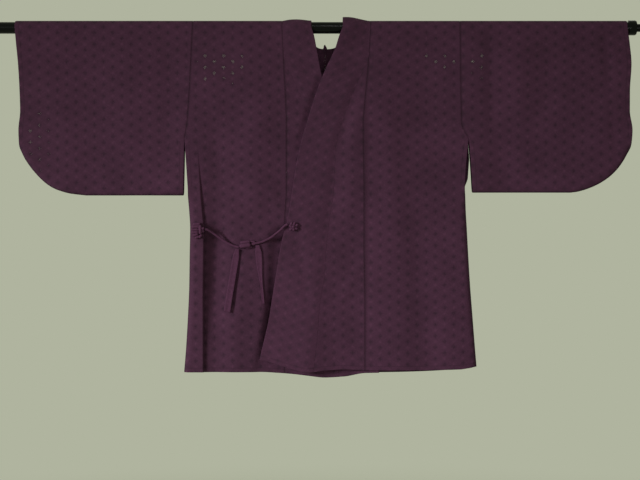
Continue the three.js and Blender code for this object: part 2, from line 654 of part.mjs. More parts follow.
const group = new THREE.Group();
for (const side of ['right', 'left']) {
  group.add(bodyLength(side), sleeve(side), okumi(side), collar(side));
}
group.add(hangingLoop());
for (const place of ORNAMENTS) group.add(ornament(place));
group.add(strand('tie_strand_side', SIDE_STRAND), strand('tie_strand_front', FRONT_STRAND), tieKnot());
group.add(tail('tie_tail_side', SIDE_TAIL, TIE.ribbonHalfWidth));
group.add(tail('tie_tail_front', FRONT_TAIL, TIE.taper));
group.add(...hangingRod());

export default group;
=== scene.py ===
"""The looks of a dochugi coat that hangs flat on a rod.

Lengths are in millimetres and become metres when a mesh is made. X runs to the wearer's left, the front
faces -Y and Z is up. A drop is a distance below the rod's axis. The UV map "cut" holds the flat cut of
the cloth in metres. The point attributes "hem" and "seam" are the distances from a turned hem and from a
sewn seam, in millimetres, and "open" tells where the lattice's holes are open.
"""
import bisect
import math

import bmesh
import bpy
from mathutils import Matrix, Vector, noise


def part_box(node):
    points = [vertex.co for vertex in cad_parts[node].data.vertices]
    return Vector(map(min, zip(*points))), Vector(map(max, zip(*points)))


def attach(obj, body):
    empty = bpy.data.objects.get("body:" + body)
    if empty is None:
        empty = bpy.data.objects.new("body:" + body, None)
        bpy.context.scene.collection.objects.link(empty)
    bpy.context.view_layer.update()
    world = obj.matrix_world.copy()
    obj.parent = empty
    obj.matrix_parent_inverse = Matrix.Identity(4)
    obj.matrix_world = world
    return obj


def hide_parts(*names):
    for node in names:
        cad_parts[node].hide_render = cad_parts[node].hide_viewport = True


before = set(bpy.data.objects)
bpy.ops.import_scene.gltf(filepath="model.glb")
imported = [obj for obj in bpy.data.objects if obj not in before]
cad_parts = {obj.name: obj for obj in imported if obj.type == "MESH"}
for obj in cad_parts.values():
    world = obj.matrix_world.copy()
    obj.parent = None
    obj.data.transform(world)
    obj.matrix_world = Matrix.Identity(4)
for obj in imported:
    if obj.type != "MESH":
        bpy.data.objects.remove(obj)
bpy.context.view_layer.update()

MM = 0.001

# The view, in metres.
VIEW_WIDTH = 1.373
VIEW_CENTRE = Vector((-0.0107, 0, -0.455))
VIEW_DISTANCE = 3.0
SENSOR_WIDTH = 36  # of the camera, in millimetres


# ---- Tables and curves ----

def table(columns, *rows):
    """Rows of numbers under named columns."""
    return {name: [row[k] for row in rows] for k, name in enumerate(columns.split())}


def mix(a, b, t):
    return a + (b - a) * t


def clamp(value, low=0.0, high=1.0):
    return min(max(value, low), high)


def smooth_step(start, end, value):
    t = clamp((value - start) / (end - start))
    return t * t * (3 - 2 * t)


def plateau(start, full, fade, end, value):
    """Grows from 0 to 1 between start and full, and falls back to 0 between fade and end."""
    return smooth_step(start, full, value) * (1 - smooth_step(fade, end, value))


def slopes(xs, ys):
    """The slope at each row, level at a turn, so that the curve never swings past its rows."""
    runs = [(ys[k + 1] - ys[k]) / (xs[k + 1] - xs[k]) for k in range(len(xs) - 1)]
    inner = [2 * a * b / (a + b) if a * b > 0 else 0.0 for a, b in zip(runs, runs[1:])]
    return [runs[0], *inner, runs[-1]]


def along(rows, column, at, key="drop"):
    """A smooth curve through a table's rows, level past both ends."""
    xs, ys = rows[key], rows[column]
    if at <= xs[0]:
        return ys[0]
    if at >= xs[-1]:
        return ys[-1]
    known = rows.setdefault("slopes", {})
    if column not in known:
        known[column] = slopes(xs, ys)
    tangents = known[column]
    k = bisect.bisect_right(xs, at) - 1
    run = xs[k + 1] - xs[k]
    t = (at - xs[k]) / run
    rise = ys[k + 1] - ys[k]
    start, end = tangents[k] * run, tangents[k + 1] * run
    return ys[k] + t * (start + t * (3 * rise - 2 * start - end + t * (start + end - 2 * rise)))


# ---- The coat's sizes ----

ROD_RADIUS = 12.5
ROD_ENDS = (-720, 720)
COUPLER = {"radius": 16, "start": 650, "end": 668, "bevel": 4}
THIN_ROD_RADIUS = 8.5
CLOTH_WALL = 1.6  # how far the cloth's outer face lies from the hollow
BAND_WALL = 2.4
CLOTH = (CLOTH_WALL, 0.8)  # that distance, and the cloth's own thickness
BAND = (BAND_WALL, 2.0)
SEAM_GAP = 0.04
SEAM_DIP = (4, 0.45)  # how far from a seam the cloth begins to sink, and how deep it sinks
HEM_DIP = (3, 0.5)
MOST_DIP = {"body": 1.0, "okumi": 0.9, "collar": 1.7}
DRAPE_RADIUS = 13.3
BODY_LENGTH = 738
HEM_PULL_TOP = 380
BODY_HALF_DEPTH = 6
SLEEVE_LENGTH = {"right": 358, "left": 352}
SLEEVE_HALF_DEPTH = 3.8
SLEEVE_BLEND = 90
CUFF_LENGTH = 238
ARMHOLE_LENGTH = 238
SLIT_END = 350  # the side seam is open from the armhole down to here
SEAM_ROUND = 12
NECK_SEAM_DROP = 93
NECK_FREE_DROP = 42.5
NECK_SEAM = {"right": 91, "left": 97}
NECK_FREE = {"right": 29, "left": 38}
NECK_LEAN = 5
NECK_SQUARE = 0.7  # the power that makes the collar's edge squarer than an ellipse behind the neck
OKUMI_TIP = 69

# The left front's lift off the right one: how far, over which drops it grows, where across it ends. Its
# lower corner stands off more.
OVERLAP = {
    "lift": 4, "drops": (20, 95), "ends": (130, 230),
    "corner_lift": 6, "corner_top": 640, "corner_x": -100, "corner_width": 75}

# The band beside the right side seam: its height, the foot of its edge, and the trough past it, deepest
# below the ties. "above" and "step" are shares of the full height and depth.
BAND_FOLD = {
    "height": 7, "full": 400, "foot": 2.5, "trough": 9.5, "step": 0.2, "deepest": 27, "reach": 74,
    "below_ties": (405, 455), "above": (0.6, 0.15), "fades": (540, 720), "faded": 0.6}

# Where the right front falls in: beside the left front's free edge, where the collars cross, and at its
# own hem. Each grows and fades between the four places given, across and down.
VALLEY = {
    "depth": 11, "width": (38, 18), "narrows": (440, 600), "foot": 3, "past": 70,
    "drops": (410, 455, 620, 790)}
CROSSING = {"depth": 4.2, "across": (-15, -1, 5, 40), "drops": (85, 120, 180, 300)}
TUCK = {"depth": 13, "across": (-142, -62, 40, 110), "drops": (690, 760)}

SLEEVE_SEAM = table(
    "drop right left", (0, -282.5, 289), (205, -294.5, 292.5), (238, -300.5, 307.5))
SLEEVE_INNER = table(
    "drop right left", (238, -300.5, 307.5), (285, -301.5, 311.5), (358, -303, 316))
SLEEVE_OUTER = table(
    "drop right left",
    (0, -663, 646), (36, -660, 651), (79, -656, 655), (137, -653, 652), (178, -652, 652),
    (220, -656, 658), (248, -655, 656), (275, -645, 644), (297, -631, 630), (316, -615, 612),
    (332, -598, 589), (343, -581, 565), (350, -562, 541), (354, -546, 512), (358, -512, 505))
BODY_SIDE = table(
    "drop right left fold",
    (238, -300.5, 307.5, 26), (290, -297, 302, 26), (348, -293, 299, 26), (395, -290, 301, 27),
    (429, -288, 303, 28), (485, -289, 306, 29), (554, -290, 310, 29), (622, -293, 315, 32),
    (689, -297, 320, 36), (738, -301, 324, 40))
SLIT_BACK = table(
    "drop right left",
    (238, 0, 0), (262, 1, 4.5), (285, 0.5, 8), (320, 0, 8), (350, 0, 0), (738, 0, 0))
FRONT_EDGES = table(
    "drop body_right collar_right free_right body_left collar_left free_left",
    (0, -91, -91, -29, 97, 97, 38), (20, -90, -90, -23, 96, 96, 30),
    (45, -89, -89, -18, 94.5, 94.5, 22), (66, -88, -88, -14, 93.5, 93.5, 13),
    (93, -87, -77, -9, 92, 81, 0), (125, -85, -62, -1, 89, 67, -13),
    (165, -83, -45, 9, 85, 51, -27), (205, -82, -30, 20, 82, 36, -39),
    (238, -82, -20, 29, 82, 26, -49), (285, -82, -15, 41, 83, 21.5, -60),
    (348, -82, -13, 53, 84, 19, -70), (405, -85, -4, 64, 84, 11, -79),
    (457, -86, 2, 75, 84, 4, -92), (539, -86, 8, 90, 85, -2, -105),
    (594, -86, 16, 98, 86, -11, -113), (648, -86, 21, 104, 86, -15, -121),
    (738, -86, 30, 116, 86, -24, -140))
HEMS = table(
    "x right left back",
    (-301, 738, 712, 738), (-140, 738, 712, 738), (-101, 740, 721, 739), (-73, 742, 730, 740),
    (-36, 746, 738, 741), (0, 750, 734, 742), (40, 748, 732, 742), (88, 740, 734, 740),
    (193, 738, 734, 738), (292, 738, 732, 732), (324, 738, 726, 727))

# Soft folds. Each grows from its top down to where it is full. The one with an end bulges over the ties.
# Each row: x, lean, top, full, end, width, height.
FOLDS = {
    "front": [
        (-150, 0, 120, 330, 425, 40, 3), (-215, 0.05, 470, 640, None, 34, 3),
        (-132, 0.04, 420, 600, None, 30, -2.5), (-25, -0.02, 330, 640, None, 36, 5),
        (60, 0.03, 300, 600, None, 30, -2), (150, 0.05, 260, 560, None, 44, 2.2),
        (240, 0.06, 330, 620, None, 36, 1.8), (-560, 0, 60, 230, None, 40, 2),
        (470, 0.05, 70, 240, None, 46, 2), (590, 0.12, 4, 26, None, 7, -1.2)],
    "back": [
        (-180, -0.05, 240, 600, None, 42, 4), (-62, -0.02, 300, 640, None, 34, 3),
        (58, 0.03, 220, 580, None, 38, 4.5), (190, 0.04, 280, 620, None, 46, 3.5),
        (-480, 0, 60, 250, None, 44, 2.5), (520, 0, 80, 240, None, 40, 2.5)]}
FOLD_FADE = 100

# Light creases between two points: x and drop of each end, width, height.
CREASES = {
    "front": [
        (352, 4, 358, 226, 13, -2.6), (408, 20, 420, 326, 26, 2.9), (480, 10, 474, 190, 24, -1.9),
        (598, 2, 612, 120, 5, -2.1), (336, 300, 500, 322, 16, -1.6), (620, 150, 560, 300, 22, 1.6),
        (-150, 120, -142, 420, 38, 3.5), (-234, 190, -226, 470, 20, -2.6), (-118, 330, -98, 400, 10, 1.4),
        (62, 120, 54, 430, 20, 2.8), (128, 110, 150, 460, 26, 2.6), (92, 100, 92, 700, 7, -1.3),
        (236, 210, 262, 560, 24, -1.3), (196, 380, 206, 700, 22, -1.1), (-60, 430, -30, 640, 12, -1.4),
        (78, 500, 30, 600, 9, 1.3), (-420, 30, -410, 300, 46, 1.6), (-600, 90, -520, 320, 24, 1.3),
        (-330, 60, -340, 330, 22, -1.8), (-184, 478, -198, 618, 5, -3.2), (76, 95, 30, 260, 15, -3.6),
        (28, 240, 4, 430, 17, -1.5), (34, 5, 4, 110, 26, 4)],
    "back": [
        (-340, 30, -350, 330, 30, -2.2), (-560, 60, -540, 300, 34, 1.9), (350, 20, 362, 320, 26, -2.4),
        (440, 40, 430, 320, 30, 1.9), (600, 10, 590, 180, 12, -1.9), (-230, 120, -214, 620, 24, -2.6),
        (-120, 260, -128, 700, 20, 2.6), (0, 200, 4, 700, 16, -1.9), (120, 180, 132, 640, 22, -2.9),
        (250, 160, 262, 700, 26, 2.9)]}

SLACK = 0.5  # how far the cloth wanders from flat


# ---- The hanging form that all the pieces share ----

def outward(side):
    return -1 if side == "right" else 1


def side_at(side, face, drop):
    """The side edge of a body length: the sleeve seam, and the side seam below it."""
    if drop <= ARMHOLE_LENGTH:
        return along(SLEEVE_SEAM, side, drop)
    wider = along(SLIT_BACK, side, drop) if face == "back" else 0
    return along(BODY_SIDE, side, drop) + outward(side) * wider


def half_depth(x, drop):
    """Half of the hollow between front and back."""
    body = mix(DRAPE_RADIUS, BODY_HALF_DEPTH, clamp(drop / BODY_LENGTH))
    sleeve = mix(DRAPE_RADIUS, SLEEVE_HALF_DEPTH, clamp(drop / SLEEVE_LENGTH["right"]))
    seam = abs(along(SLEEVE_SEAM, "right" if x < 0 else "left", drop))
    return mix(body, sleeve, smooth_step(0, SLEEVE_BLEND, abs(x) - seam))


def crease_height(x, drop, x0, drop0, x1, drop1, width, height):
    """One crease: a soft bell across a line that fades out at both ends."""
    run_x, run_drop = x1 - x0, drop1 - drop0
    length = math.hypot(run_x, run_drop)
    t = ((x - x0) * run_x + (drop - drop0) * run_drop) / length ** 2
    if not -0.15 < t < 1.15:
        return 0.0
    offset = ((x - x0) * run_drop - (drop - drop0) * run_x) / length / width
    return height * math.exp(-offset * offset) * plateau(-0.15, 0.25, 0.75, 1.15, t)


def folds_at(face, x, drop):
    total = 0.0
    for fold_x, lean, top, full, end, width, height in FOLDS[face]:
        if drop > top:
            offset = (x - fold_x - lean * (drop - top)) / width
            left = 1 - smooth_step(end - FOLD_FADE, end, drop) if end else 1
            total += height * math.exp(-offset * offset) * smooth_step(top, full, drop) * left
    for crease in CREASES[face]:
        total += crease_height(x, drop, *crease)
    wander = noise.noise(Vector((x / 70, drop / 110, 3 if face == "back" else 0)))
    ripple = noise.noise(Vector((x / 22, drop / 60, 9 if face == "back" else 6)))
    return total + SLACK * (wander + 0.35 * ripple) * smooth_step(0, 30, drop)


def band_fold(x, drop):
    """The flat band beside the right side seam, which stands over a trough, deepest below the ties."""
    band = BAND_FOLD
    edge = side_at("right", "front", drop) + along(BODY_SIDE, "fold", drop)
    rise = smooth_step(ARMHOLE_LENGTH, band["full"], drop)
    below = smooth_step(*band["below_ties"], drop) * (1 - band["faded"] * smooth_step(*band["fades"], drop))
    height = band["height"] * rise * mix(band["above"][0], 1, below)
    trough = band["trough"] * rise * mix(band["above"][1], 1, below)
    past = x - edge
    if past < band["foot"]:
        return mix(height, -band["step"] * trough, smooth_step(-0.6, band["foot"], past))
    if past < band["deepest"]:
        return mix(-band["step"] * trough, -trough, smooth_step(band["foot"], band["deepest"], past))
    return -trough * (1 - smooth_step(band["deepest"], band["reach"], past))


def edge_valley(x, drop):
    """The right front falls in beside the left front's free edge, high up and low, and under its hem."""
    past = x - along(FRONT_EDGES, "free_left", drop)
    width = mix(*VALLEY["width"], smooth_step(*VALLEY["narrows"], drop))
    low = plateau(-width, -VALLEY["foot"], 0, VALLEY["past"], past) * plateau(*VALLEY["drops"], drop)
    crossing = plateau(*CROSSING["across"], past) * plateau(*CROSSING["drops"], drop)
    tucked = plateau(*TUCK["across"], x) * smooth_step(*TUCK["drops"], drop)
    return -VALLEY["depth"] * low - CROSSING["depth"] * crossing - TUCK["depth"] * tucked


def overlap_lift(x, drop):
    """The left front lies over the right one and comes back to the body's depth past it."""
    corner = OVERLAP["corner_lift"] * smooth_step(OVERLAP["corner_top"], BODY_LENGTH, drop)
    corner *= math.exp(-((x - OVERLAP["corner_x"]) / OVERLAP["corner_width"]) ** 2)
    level = smooth_step(*OVERLAP["drops"], drop) * (1 - smooth_step(*OVERLAP["ends"], x))
    return OVERLAP["lift"] * level + corner


def hang(face, x, drop, lift, hem_drop):
    """A point of the cloth's inner face. The hem's curve is taken up below HEM_PULL_TOP."""
    pulled = drop + (hem_drop - BODY_LENGTH) * smooth_step(HEM_PULL_TOP, BODY_LENGTH, drop)
    depth = half_depth(x, drop) + folds_at(face, x, drop) + lift
    return Vector((x, -depth if face == "front" else depth, -pulled))


def over_rod(x, angle, lift):
    radius = DRAPE_RADIUS + lift
    return Vector((x, -radius * math.cos(angle), radius * math.sin(angle)))


def sewn(point, distance, strength):
    """Draws a point in to the middle where two edges are sewn together."""
    t = clamp(distance / SEAM_ROUND)
    kept = mix(1, math.sqrt(1 - (1 - t) ** 2), strength)
    point.y = math.copysign(mix(SEAM_GAP / 2, abs(point.y), kept), point.y)
    return point


# ---- Rows and columns ----

EDGE_STEPS = [0, 0.4, 0.9, 1.6, 2.6, 4, 6, 9, 13]


def drop_rows(length, face, step=6, start=6):
    """Rows from near the rod to a hem, close together beside the hem."""
    end = length - EDGE_STEPS[-1] - step
    count = round((end - start) / step)
    drops = [mix(start, end, k / count) for k in range(count + 1)]
    return [(face, drop) for drop in drops + [length - near for near in EDGE_STEPS[::-1]]]


def front_to_back(front, back):
    """Rows from the front hem, over the rod, to the back hem."""
    over = [("rod", math.radians(angle)) for angle in range(0, 181, 9)]
    return front[::-1] + over + back


def back_shift(x, drop):
    """How far the back's weave lies askew, so that from the front its lattice lies behind the front's."""
    depth = (2 * half_depth(x, drop) + CLOTH_WALL) / (VIEW_DISTANCE / MM)
    across = (VIEW_CENTRE.x / MM - x) * depth
    down = (-drop - VIEW_CENTRE.z / MM) * depth + BACK_WEAVE_DOWN
    return Vector((across, down)) * smooth_step(0, 60, drop)


def cut_place(x, face, at):
    """A point's place on the flat cut, from the line where the front leaves the rod."""
    outer = DRAPE_RADIUS + CLOTH_WALL
    place = Vector((x, {"front": -at, "rod": outer * at, "back": math.pi * outer + at}[face]))
    return place + back_shift(x, at) if face == "back" else place


def weave_open(piece, x, face, at, from_edge):
    """Where the holes are open: past a turned edge, and on the back about one place only."""
    past_edge = clamp((from_edge - HEM_TURN) / 2 + 0.5)
    if face != "back":
        return past_edge
    meet_x, meet_drop, reach_x, reach_drop = HOLES_MEET[piece]
    away = ((x - meet_x) / reach_x) ** 2 + ((at - meet_drop) / reach_drop) ** 2
    patchy = noise.noise(Vector((x / 24, at / 24, 4)))
    return past_edge * clamp(1.5 - away + patchy)


def edge_dip(distance, reach, depth):
    """How far the cloth rounds in beside an edge."""
    return depth * (1 - math.sqrt(clamp(1 - (1 - clamp(distance / reach)) ** 2)))


# ---- Sheets of cloth ----

FAR = 1000.0  # a distance past every hem and seam

# The flat cut of what shows of each sheet, across and along.
FLATS = {"body": (330, 1530), "sleeve": (385, 765), "okumi": (120, 685), "collar": (110, 905)}

# Where light comes through the holes of both the front and the back: x, drop and reach each way.
HOLES_MEET = {
    "body_right": (-230, 80, 60, 35), "body_left": (250, 55, 50, 35),
    "sleeve_right": (-590, 235, 55, 70), "sleeve_left": (320, 60, 40, 40)}
BACK_WEAVE_DOWN = 2.4
HEM_TURN = 9.0  # how wide the cloth is turned in at a hem or a seam
FAINT_SEAM = 3.2  # added to the distance from the collar's seam down the front, so that the painted seam shade there hardly shows


def spot(point, cut, hem, seam, dip, is_open=1.0):
    """One point of a sheet: its place, its place on the flat cut, its distances from the edges."""
    return {"point": point, "cut": cut, "hem": hem, "seam": seam, "dip": dip, "open": is_open}


def sheet(name, rows, columns, place, wall, thickness, material):
    """A sheet on a grid of rows and columns, moved out from the hollow and given its thickness."""
    bm = bmesh.new()
    bmesh.ops.create_grid(bm, x_segments=len(columns) - 1, y_segments=len(rows) - 1, size=0.5)
    layers = {key: bm.verts.layers.float.new(key) for key in ("hem", "seam", "open")}
    bm.verts.index_update()
    spots = []
    for vert in bm.verts:
        column = columns[round((vert.co.x + 0.5) * (len(columns) - 1))]
        row = rows[round((vert.co.y + 0.5) * (len(rows) - 1))]
        made = place(row, column)
        spots.append(made)
        vert.co = made["point"] * MM
        for key, layer in layers.items():
            vert[layer] = made[key]
    bm.normal_update()
    for vert in bm.verts:
        vert.co += vert.normal * (wall - spots[vert.index]["dip"]) * MM
    cut_layer = bm.loops.layers.uv.new("cut")
    for face in bm.faces:
        face.smooth = True
        for loop in face.loops:
            u, v = spots[loop.vert.index]["cut"]
            loop[cut_layer].uv = (u * MM, v * MM)
    piece = finished(name, bm, material)
    walls = piece.modifiers.new("thickness", "SOLIDIFY")
    walls.thickness = thickness * MM
    walls.offset = -1
    return piece


def placed(name, data):
    """A new object in the scene."""
    made = bpy.data.objects.new(name, data)
    bpy.context.scene.collection.objects.link(made)
    return made


def finished(name, bm, material):
    """Closes a bmesh into a named object with its material."""
    mesh = bpy.data.meshes.new(name)
    bm.to_mesh(mesh)
    bm.free()
    mesh.materials.append(material)
    return placed(name, mesh)


def flat_area(piece):
    """The flat area of a sheet's cut, from its UV map, in square metres."""
    uv = piece.data.uv_layers["cut"].data
    total = 0.0
    for polygon in piece.data.polygons:
        corners = [uv[k].uv for k in polygon.loop_indices]
        pairs = zip(corners, corners[1:] + corners[:1])
        total += abs(sum(a.x * b.y - b.x * a.y for a, b in pairs)) / 2
    return total


def stands_for(piece, nodes):
    """Puts a piece in place of solids."""
    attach(piece, "root")
    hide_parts(*nodes)
    return piece


def hang_sheet(kind, side, rows, columns, place, walls, material):
    """Makes the sheet of one side and hangs it in place of its solid. Columns run from the outside in."""
    node = f"{kind}_{side}"
    piece = sheet(
        f"cloth_{node}", rows, columns if side == "right" else columns[::-1],
        lambda row, column: place(side, row, column), *walls, material)
    stands_for(piece, [node])
    size = tuple(length * MM for length in FLATS[kind])
    area = min(flat_area(piece), size[0] * size[1])


# ---- Body lengths ----

# Columns of a body length: from its side edge, past the fold, across, and to its inner edge.
BODY_COLUMNS = (
    [("side", step, 0) for step in EDGE_STEPS]
    + [("side", step, 1) for step in (-8, -4, -2, -1, -0.4, 0.2, 0.8, 1.4, 2, 2.6, 4, 7, 12, 19, 28, 40)]
    + [("across", k / 18) for k in range(1, 18)]
    + [("inner", step) for step in EDGE_STEPS[::-1]])


def body_x(side, face, drop, column, inner_edge):
    edge = side_at(side, face, drop) - outward(side) * SEAM_GAP / 2
    inward = -outward(side)
    fold = along(BODY_SIDE, "fold", drop)
    if column[0] == "side":
        return edge + inward * (column[1] + fold * column[2])
    if column[0] == "inner":
        return inner_edge - inward * column[1]
    start = edge + inward * (fold + 40)
    end = inner_edge - inward * EDGE_STEPS[-1]
    return mix(start, end, column[1])


def neck_edge(side, drop):
    """The inner edge of the back: the neck seam, an ellipse, and the centre seam below it."""
    deep, reach = NECK_SEAM_DROP + SEAM_GAP, NECK_SEAM[side] + SEAM_GAP
    inside = max(1 - (drop / deep) ** 2, 0)
    return outward(side) * max(reach * math.sqrt(inside), SEAM_GAP / 2)


def body_inner_edge(side, face, drop):
    if face == "back":
        return neck_edge(side, drop)
    return along(FRONT_EDGES, "body_" + side, drop) + outward(side) * SEAM_GAP


def body_spot(side, row, column):
    face, at = row
    drop = 0 if face == "rod" else at
    inner = body_inner_edge(side, face, drop)
    x = body_x(side, face, drop, column, inner)
    cut = cut_place(x, face, at)
    from_side = abs(x - side_at(side, face, drop)) - SEAM_GAP / 2
    from_inner = abs(x - inner)
    hem_drop = along(HEMS, "back" if face == "back" else side, x, key="x")
    from_hem = BODY_LENGTH - drop if face != "rod" else FAR
    in_slit = plateau(ARMHOLE_LENGTH - 2, ARMHOLE_LENGTH + 6, SLIT_END - 8, SLIT_END, drop)
    seam = min(from_inner, from_side + in_slit * FAR)
    hem = min(from_hem, from_side + (1 - in_slit) * FAR)
    is_open = weave_open("body_" + side, x, face, at, min(hem, seam))
    dip = edge_dip(min(from_side, from_inner), *SEAM_DIP)
    dip += edge_dip(from_hem, *HEM_DIP)
    if face == "rod":
        return spot(over_rod(x, at, 0), cut, hem, seam, dip, is_open)
    lift = 0
    if face == "front":
        lift = band_fold(x, drop) + edge_valley(x, drop) if side == "right" else overlap_lift(x, drop)
    point = hang(face, x, drop, lift, hem_drop)
    point = sewn(point, from_side, smooth_step(SLIT_END - 4, SLIT_END + 50, drop))
    return spot(point, cut, hem, seam, min(dip, MOST_DIP["body"]), is_open)


def body_length(side, material):
    front = drop_rows(BODY_LENGTH, "front")
    neck = [("back", (NECK_SEAM_DROP + SEAM_GAP) * math.sin(math.radians(a))) for a in range(4, 91, 4)]
    neck.append(("back", NECK_SEAM_DROP + SEAM_GAP))
    below = [row for row in drop_rows(BODY_LENGTH, "back") if row[1] > NECK_SEAM_DROP + 3]
    rows = front_to_back(front, neck + below)
    hang_sheet("body", side, rows, BODY_COLUMNS, body_spot, CLOTH, material)


# ---- Sleeves ----

SLEEVE_COLUMNS = (
    [("outer", step) for step in EDGE_STEPS]
    + [("across", k / 50) for k in range(1, 50)]
    + [("inner", step) for step in EDGE_STEPS[::-1]])


def outer_steepness(side, drop):
    """How nearly a sleeve's edge runs straight down, from 0 along its bottom to 1 at the cuff."""
    run = along(SLEEVE_OUTER, side, drop + 3) - along(SLEEVE_OUTER, side, drop - 3)
    return 6 / math.hypot(run, 6)


def sleeve_spot(side, row, column):
    face, at = row
    drop = 0 if face == "rod" else at
    out = outward(side)
    outer = along(SLEEVE_OUTER, side, drop)
    inner_edge = SLEEVE_SEAM if drop <= ARMHOLE_LENGTH else SLEEVE_INNER
    inner = along(inner_edge, side, drop) + out * SEAM_GAP / 2
    if column[0] == "outer":
        x = outer - out * column[1]
    elif column[0] == "inner":
        x = inner + out * column[1]
    else:
        x = mix(outer - out * EDGE_STEPS[-1], inner + out * EDGE_STEPS[-1], column[1])
    cut = cut_place(x, face, at)
    steep = outer_steepness(side, drop)
    from_outer, from_inner = abs(x - outer) * steep, abs(x - inner)
    from_bottom = SLEEVE_LENGTH[side] - drop
    closed = smooth_step(CUFF_LENGTH - 2, CUFF_LENGTH + 24, drop)
    below_armhole = smooth_step(ARMHOLE_LENGTH - 2, ARMHOLE_LENGTH + 6, drop)
    hem = min(from_outer + closed * FAR, from_inner + (1 - below_armhole) * FAR)
    seam = min(from_inner + below_armhole * FAR, from_bottom, from_outer + (1 - closed) * FAR)
    is_open = weave_open("sleeve_" + side, x, face, at, min(hem, seam))
    dip = edge_dip(from_inner, *SEAM_DIP)
    dip += edge_dip(from_outer, *HEM_DIP) * (1 - closed)
    if face == "rod":
        return spot(over_rod(x, at, 0), cut, hem, seam, dip, is_open)
    point = hang(face, x, drop, 0, BODY_LENGTH)
    distance = min(from_bottom, mix(SEAM_ROUND, from_outer, closed))
    return spot(sewn(point, distance, 1), cut, hem, seam, dip, is_open)


def sleeve(side, material):
    length = SLEEVE_LENGTH[side]
    rows = front_to_back(drop_rows(length, "front", 5), drop_rows(length, "back", 5))
    hang_sheet("sleeve", side, rows, SLEEVE_COLUMNS, sleeve_spot, CLOTH, material)


# ---- Overlap panels ----

OKUMI_COLUMNS = [("edge", step) for step in EDGE_STEPS[:6]] + [("across", k / 14) for k in range(1, 14)]
OKUMI_COLUMNS += [("far", step) for step in EDGE_STEPS[5::-1]]


def front_lift(side, x, drop):
    return edge_valley(x, drop) if side == "right" else overlap_lift(x, drop)


def okumi_spot(side, row, column):
    drop = row[1]
    near = along(FRONT_EDGES, "body_" + side, drop)
    far = along(FRONT_EDGES, "collar_" + side, drop) + outward(side) * SEAM_GAP
    width = max(abs(far - near), 0.02)
    reach = min(EDGE_STEPS[5], width * 0.3)
    inset = {"edge": reach / EDGE_STEPS[5] * column[1], "far": width - reach / EDGE_STEPS[5] * column[1]}
    offset = inset.get(column[0], mix(reach, width - reach, column[1]))
    x = near - outward(side) * offset
    hem_drop = along(HEMS, side, x, key="x")
    from_hem = BODY_LENGTH - drop
    dip = edge_dip(offset, min(SEAM_DIP[0], width / 2), SEAM_DIP[1])
    dip += edge_dip(from_hem, *HEM_DIP)
    point = hang("front", x, drop, front_lift(side, x, drop), hem_drop)
    is_open = clamp((min(offset, width - offset, from_hem) - HEM_TURN) / 2 + 0.5)
    seam = min(offset, width - offset + FAINT_SEAM)
    return spot(point, (x, -drop), from_hem, seam, min(dip, MOST_DIP["okumi"]), is_open)


def okumi(side, material):
    rows = drop_rows(BODY_LENGTH, "front", 6, OKUMI_TIP)[::-1]
    hang_sheet("okumi", side, rows, OKUMI_COLUMNS, okumi_spot, CLOTH, material)


# ---- Collar ----

COLLAR_FREE_DIP = (2.5, 0.6)
COLLAR_HEM_DIP = (3, 0.8)
COLLAR_SEAM_REACH = 16
COLLAR_BUMP = {"right": 2.5, "left": 7.5}

# The collar's run along its cut: by the radian over the rod, over all of it, by the radian round the neck.
COLLAR_RUN = {"rod": 14, "past_rod": 44, "neck": 75}


def collar_bump(side, t, drop):
    """The collar's soft rise where it passes over the rod."""
    if side == "right":
        across = math.sin(math.pi * min(t * 1.1, 1))
    else:
        across = math.sin(math.pi / 2 * min(t / 0.85, 1)) ** 2
    return COLLAR_BUMP[side] * across * (1 - smooth_step(0, 60, drop))


def round_neck(side, angle, t):
    """A point of the collar behind the neck, the collar's width there, and the run along its cut."""
    sign, turned = outward(side), math.sin(angle)
    seam_x = sign * max(NECK_SEAM[side] * math.cos(angle), SEAM_GAP / 2)
    free_x = sign * max(NECK_FREE[side] * abs(math.cos(angle)) ** NECK_SQUARE, SEAM_GAP / 2)
    seam_drop, free_drop = NECK_SEAM_DROP * turned, NECK_FREE_DROP * turned ** NECK_SQUARE
    drop = mix(seam_drop, free_drop, t)
    lift = collar_bump(side, t, drop) + NECK_LEAN * t * t * turned + neck_tuck(t, angle)
    point = hang("back", mix(seam_x, free_x, t), drop, lift, BODY_LENGTH)
    run = COLLAR_RUN["past_rod"] + angle * COLLAR_RUN["neck"]
    return point, math.hypot(seam_x - free_x, seam_drop - free_drop), run


def down_front(side, face, at, t):
    """The same, over the rod and down the front."""
    drop = 0 if face == "rod" else at
    seam_x = along(FRONT_EDGES, "collar_" + side, drop)
    free_x = along(FRONT_EDGES, "free_" + side, drop)
    x, width, rise = mix(seam_x, free_x, t), abs(free_x - seam_x), collar_bump(side, t, drop)
    if face == "rod":
        return over_rod(x, at, rise), width, COLLAR_RUN["rod"] * at
    point = hang("front", x, drop, rise + front_lift(side, x, drop), along(HEMS, side, x, key="x"))
    return point, width, -collar_run(side, drop)


def collar_spot(side, row, t):
    """t runs from the seam, 0, to the free edge, 1."""
    face, at = row
    if face == "neck":
        point, width, run = round_neck(side, at, t)
    else:
        point, width, run = down_front(side, face, at, t)
    from_hem = BODY_LENGTH - at if face == "front" else FAR
    from_seam, from_free = width * t, width * (1 - t)
    dip = (BAND_WALL - CLOTH_WALL) * (1 - smooth_step(0, COLLAR_SEAM_REACH, from_seam))
    dip += edge_dip(from_free, *COLLAR_FREE_DIP)
    dip = min(dip + edge_dip(from_hem, *COLLAR_HEM_DIP), MOST_DIP["collar"])
    cut = (outward(side) * (from_seam - width / 2), run)
    return spot(point, cut, from_hem, from_seam + (0 if face == "neck" else FAINT_SEAM), dip)


